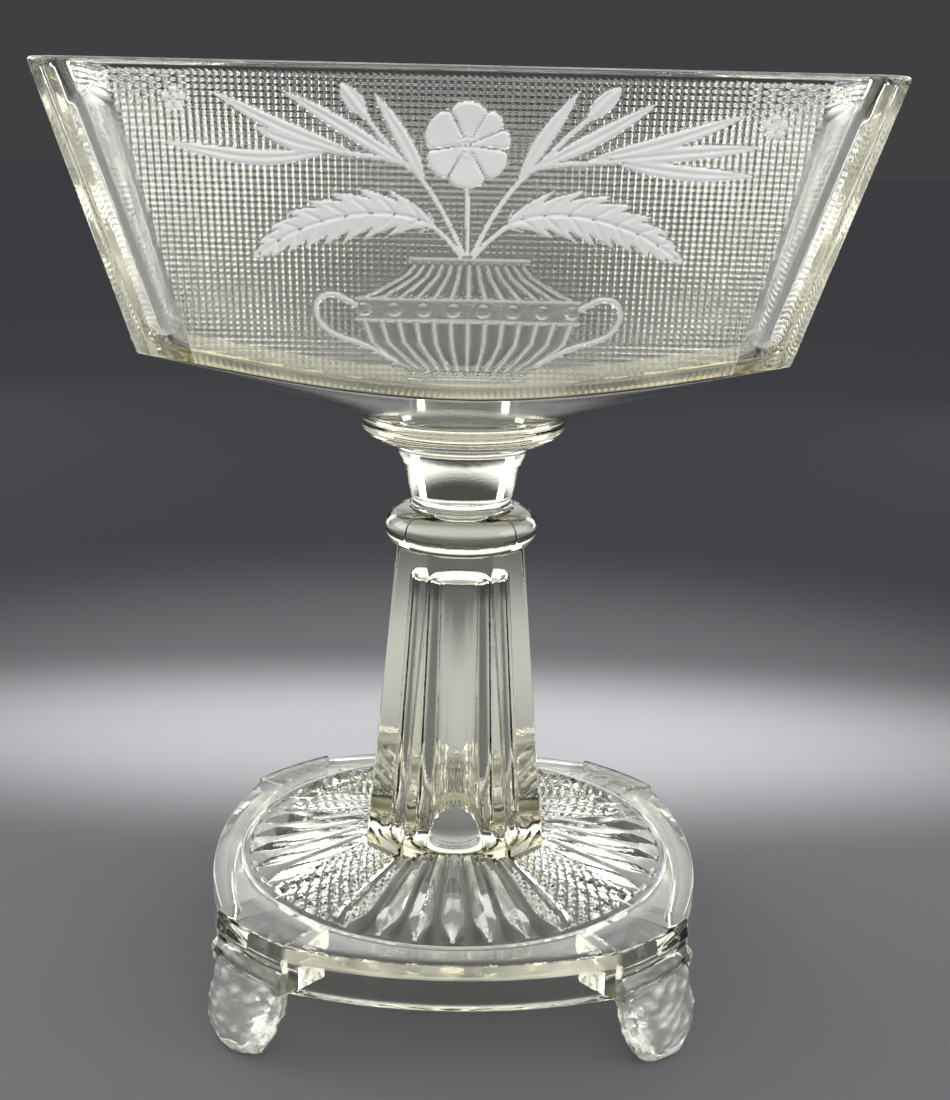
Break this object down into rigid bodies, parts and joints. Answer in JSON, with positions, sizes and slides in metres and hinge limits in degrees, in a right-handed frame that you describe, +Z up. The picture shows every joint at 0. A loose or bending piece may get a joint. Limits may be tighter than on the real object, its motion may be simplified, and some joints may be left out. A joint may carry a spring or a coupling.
{
  "type": "compote dish",
  "caption": "Square pressed-glass compote: a flared dish with fluted corners on a tapered column, set on a bowed square foot plate with short rounded feet.",
  "frame": {"origin": "on the table, under the centre of the dish, in the plane of the feet", "axes": "+Z up along the column; the dish's flat panels and the foot plate's bowed sides face +X, -X, +Y and -Y"},
  "size_m": [0.1776, 0.1776, 0.243],
  "materials": {
    "bowl_glass": "fire-polished pressed glass with a faint straw tint",
    "wafer_glass": "fire-polished glass with a faint straw tint",
    "pedestal_glass": "fire-polished pressed glass with a faint straw tint"
  },
  "bodies": {
    "root": {"bowl": "bowl_glass", "wafer": "wafer_glass", "pedestal": "pedestal_glass"}
  },
  "joints": []
}
